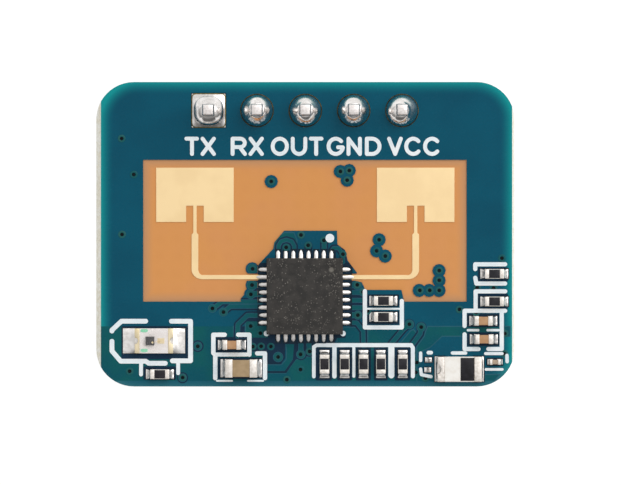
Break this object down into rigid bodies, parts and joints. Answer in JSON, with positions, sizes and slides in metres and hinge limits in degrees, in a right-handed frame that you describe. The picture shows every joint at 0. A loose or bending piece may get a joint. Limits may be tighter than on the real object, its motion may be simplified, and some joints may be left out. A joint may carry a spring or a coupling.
{
  "type": "microwave radar sensor module",
  "caption": "Small circuit board with patch antennas in an unmasked window, a radar chip, a light sensor and a pin header behind it, for sensing presence.",
  "frame": {"origin": "middle of the header's pin row, on the surface that the header's plastic stands on", "axes": "+X along the pin row towards the supply pin, +Y from the board towards its header edge, +Z out of the antenna face"},
  "size_m": [0.022, 0.016, 0.0115],
  "materials": {
    "olive_ceramic": "fired ceramic, satin",
    "tan_ceramic": "fired ceramic, satin",
    "tinned_ends": "tin plate, satin",
    "mould_compound": "filled epoxy, matte",
    "solder": "reflowed tin, bright",
    "black_ink": "printed band, matte",
    "white_moulding": "white moulding, semi-gloss",
    "solder_mask": "cured lacquer, semi-gloss",
    "copper": "etched copper",
    "header_plastic": "moulded nylon, matte",
    "pin_metal": "gold plated brass, satin",
    "glass_epoxy": "woven glass and resin, satin",
    "legend_ink": "printed ink, matte",
    "white_carrier": "white laminate, satin",
    "clear_cover": "clear moulded epoxy",
    "silicon": "polished silicon",
    "gold_finish": "pale gold plate, satin",
    "alumina": "fired alumina, matte",
    "black_glaze": "fired glaze, semi-gloss",
    "grey_ceramic": "fired ceramic, satin"
  },
  "bodies": {
    "root": {"bulk_capacitor": "olive_ceramic", "capacitor_1": "tan_ceramic", "capacitor_2": "tan_ceramic", "capacitor_3": "tan_ceramic", "capacitor_terminals": "tinned_ends", "chip_body": "mould_compound", "chip_lands": "solder", "chip_leads": "tinned_ends", "chip_paddle": "tinned_ends", "chip_solder": "solder", "component_lands": "solder", "diode_band": "black_ink", "diode_body": "white_moulding", "diode_terminals": "tinned_ends", "front_mask": "solder_mask", "ground_plane": "copper", "header_housing": "header_plastic", "header_lands": "solder", "header_pin_1": "pin_metal", "header_pin_2": "pin_metal", "header_pin_3": "pin_metal", "header_pin_4": "pin_metal", "header_pin_5": "pin_metal", "laminate": "glass_epoxy", "legend": "legend_ink", "light_sensor_base": "white_carrier", "light_sensor_cover": "clear_cover", "light_sensor_die": "silicon", "light_sensor_terminals": "gold_finish", "rear_mask": "solder_mask", "receive_antenna": "gold_finish", "resistor_1": "alumina", "resistor_10": "alumina", "resistor_2": "alumina", "resistor_3": "alumina", "resistor_4": "alumina", "resistor_5": "alumina", "resistor_6": "alumina", "resistor_7": "alumina", "resistor_8": "alumina", "resistor_9": "alumina", "resistor_glazes": "black_glaze", "resistor_terminals": "tinned_ends", "small_capacitor": "grey_ceramic", "solder_fillets": "solder", "solder_joint_1": "solder", "solder_joint_2": "solder", "solder_joint_3": "solder", "solder_joint_4": "solder", "solder_joint_5": "solder", "transmit_antenna": "gold_finish"}
  },
  "joints": []
}
